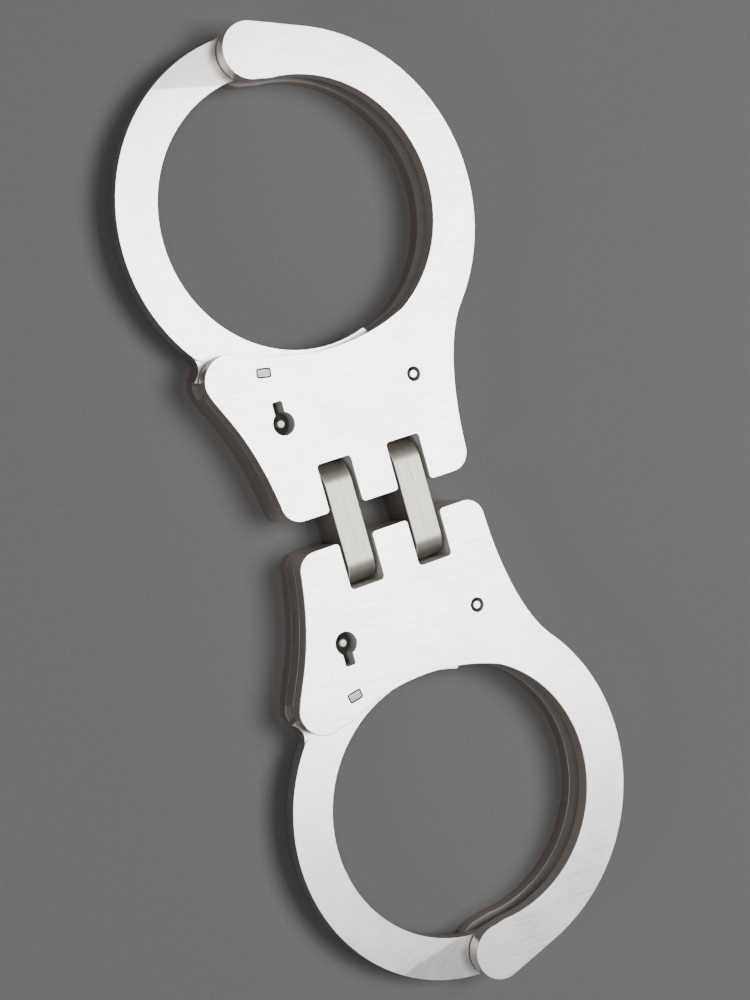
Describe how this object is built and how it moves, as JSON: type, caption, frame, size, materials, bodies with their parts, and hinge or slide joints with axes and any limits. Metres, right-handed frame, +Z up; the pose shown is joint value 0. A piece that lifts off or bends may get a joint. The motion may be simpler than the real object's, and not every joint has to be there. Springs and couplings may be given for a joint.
{
  "type": "hinged handcuffs",
  "caption": "Police-pattern hinged restraint: mirrored cuffs with swing-through ratchet strands, joined by flat links on hinge pins.",
  "frame": {"origin": "centre of the pair's footprint, on the surface it lies on, midway between the two hinge axes", "axes": "+Y along the pair towards cuff a, +X from the strands' side towards the fixed arms, +Z up through the keyhole faces"},
  "size_m": [0.0866, 0.2296, 0.0118],
  "materials": {
    "cheek_steel": "bright nickel plate over ground steel, faint lengthwise grain, fine scratches",
    "strand_steel": "bright nickel plate, faint grain",
    "core_steel": "darker, duller plate in the middle layer",
    "link_steel": "satin plate, ground along the link",
    "pin_steel": "turned steel",
    "spring_steel": "blued spring steel"
  },
  "bodies": {
    "links": {"left_link_outer": "link_steel", "left_link_inner": "link_steel", "right_link_inner": "link_steel", "right_link_outer": "link_steel", "hinge_pin_a": "pin_steel", "hinge_pin_b": "pin_steel"},
    "cuff_a": {"cheek_plate_back_a": "cheek_steel", "cheek_plate_front_a": "cheek_steel", "hinge_block_a": "core_steel", "lock_spacer_a": "core_steel", "strand_pivot_rivet_a": "cheek_steel", "pawl_pin_a": "pin_steel", "spring_post_a": "pin_steel", "pawl_spring_a": "spring_steel", "key_post_a": "pin_steel", "guide_tenon_a": "cheek_steel", "hinge_rivet_left_a": "cheek_steel", "hinge_rivet_right_a": "cheek_steel", "spacer_rivet_a": "cheek_steel"},
    "ratchet_strand_a": {"ratchet_strand_a": "strand_steel"},
    "pawl_a": {"pawl_a": "core_steel"},
    "double_lock_bar_a": {"double_lock_bar_a": "core_steel"},
    "double_lock_push_pin_a": {"double_lock_push_pin_a": "pin_steel"},
    "cuff_b": {"cheek_plate_back_b": "cheek_steel", "cheek_plate_front_b": "cheek_steel", "hinge_block_b": "core_steel", "lock_spacer_b": "core_steel", "strand_pivot_rivet_b": "cheek_steel", "pawl_pin_b": "pin_steel", "spring_post_b": "pin_steel", "pawl_spring_b": "spring_steel", "key_post_b": "pin_steel", "guide_tenon_b": "cheek_steel", "hinge_rivet_left_b": "cheek_steel", "hinge_rivet_right_b": "cheek_steel", "spacer_rivet_b": "cheek_steel"},
    "ratchet_strand_b": {"ratchet_strand_b": "strand_steel"},
    "pawl_b": {"pawl_b": "core_steel"},
    "double_lock_bar_b": {"double_lock_bar_b": "core_steel"},
    "double_lock_push_pin_b": {"double_lock_push_pin_b": "pin_steel"}
  },
  "joints": [
    {"name": "hinge_a", "type": "hinge", "parent": "links", "child": "cuff_a", "pos_m": [0, 0.009, 0.0059], "axis": [1, 0, 0], "range_deg": [-90, 90]},
    {"name": "strand_swing_a", "type": "hinge", "parent": "cuff_a", "child": "ratchet_strand_a", "pos_m": [-0.00235, 0.1082, 0.0059], "axis": [0, 0, 1], "continuous": true},
    {"name": "pawl_release_a", "type": "hinge", "parent": "cuff_a", "child": "pawl_a", "pos_m": [0.00615, 0.0266, 0.0059], "axis": [0, 0, 1], "range_deg": [0, 4], "stiffness_Nm_per_rad": 0.1, "springref_deg": -11.46},
    {"name": "double_lock_slide_a", "type": "slide", "parent": "cuff_a", "child": "double_lock_bar_a", "axis": [1, 0, 0], "range_m": [-0.002, 0]},
    {"name": "double_lock_press_a", "type": "slide", "parent": "cuff_a", "child": "double_lock_push_pin_a", "axis": [0, 0, 1], "range_m": [-0.0015, 0]},
    {"name": "hinge_b", "type": "hinge", "parent": "links", "child": "cuff_b", "pos_m": [0, -0.009, 0.0059], "axis": [-1, 0, 0], "range_deg": [-90, 90]},
    {"name": "strand_swing_b", "type": "hinge", "parent": "cuff_b", "child": "ratchet_strand_b", "pos_m": [-0.00235, -0.1082, 0.0059], "axis": [0, 0, -1], "continuous": true},
    {"name": "pawl_release_b", "type": "hinge", "parent": "cuff_b", "child": "pawl_b", "pos_m": [0.00615, -0.0266, 0.0059], "axis": [0, 0, -1], "range_deg": [0, 4], "stiffness_Nm_per_rad": 0.1, "springref_deg": -11.46},
    {"name": "double_lock_slide_b", "type": "slide", "parent": "cuff_b", "child": "double_lock_bar_b", "axis": [1, 0, 0], "range_m": [-0.002, 0]},
    {"name": "double_lock_press_b", "type": "slide", "parent": "cuff_b", "child": "double_lock_push_pin_b", "axis": [0, 0, 1], "range_m": [-0.0015, 0]}
  ],
  "couplings": [
    {"joint": "double_lock_press_a", "follows": "double_lock_slide_a", "ratio": 0.75},
    {"joint": "double_lock_press_b", "follows": "double_lock_slide_b", "ratio": 0.75}
  ]
}
